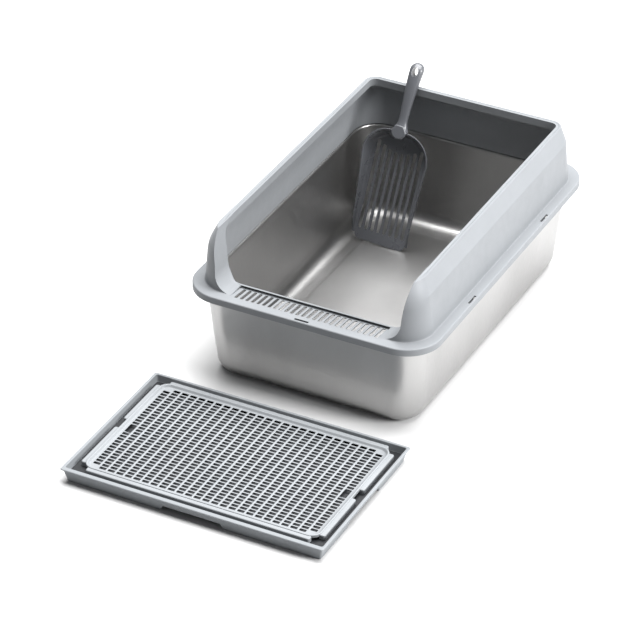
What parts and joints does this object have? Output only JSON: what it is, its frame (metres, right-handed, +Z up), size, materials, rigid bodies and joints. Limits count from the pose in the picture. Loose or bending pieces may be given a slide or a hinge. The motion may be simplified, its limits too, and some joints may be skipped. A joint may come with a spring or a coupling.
{
  "type": "cat litter box",
  "caption": "Open steel litter pan with a leaning plastic surround and low entry, a slotted scoop standing in a back corner, and a slotted two-piece mat on the floor in front.",
  "frame": {"origin": "centre of the steel pan's underside, on the floor", "axes": "+Z up; the low entry and the mat face -Y; +X is to the right as seen from the entry"},
  "size_m": [0.4386, 0.9494, 0.2941],
  "materials": {
    "steel": "satin, finely brushed",
    "surround_plastic": "fine matte grain",
    "scoop_plastic": "semi-gloss",
    "tray_plastic": "fine matte grain",
    "grid_plastic": "fine matte grain"
  },
  "bodies": {
    "pan": {"steel_pan": "steel"},
    "surround": {"enclosure": "surround_plastic"},
    "scoop": {"scoop_shovel": "scoop_plastic", "scoop_handle": "scoop_plastic"},
    "tray": {"mat_tray": "tray_plastic"},
    "grid": {"mat_grid": "grid_plastic"}
  },
  "joints": [
    {"name": "surround_lift", "type": "slide", "parent": "pan", "child": "surround", "axis": [0, 0, 1], "range_m": [0, 0.06]},
    {"name": "scoop_lift", "type": "slide", "parent": "surround", "child": "scoop", "axis": [0, -0.2589, 0.9659], "range_m": [0, 0.28]},
    {"name": "tray_slide", "type": "slide", "parent": "pan", "child": "tray", "axis": [0, -1, 0], "range_m": [0, 0.15]},
    {"name": "grid_lift", "type": "slide", "parent": "tray", "child": "grid", "axis": [0, 0, 1], "range_m": [0, 0.05]}
  ]
}
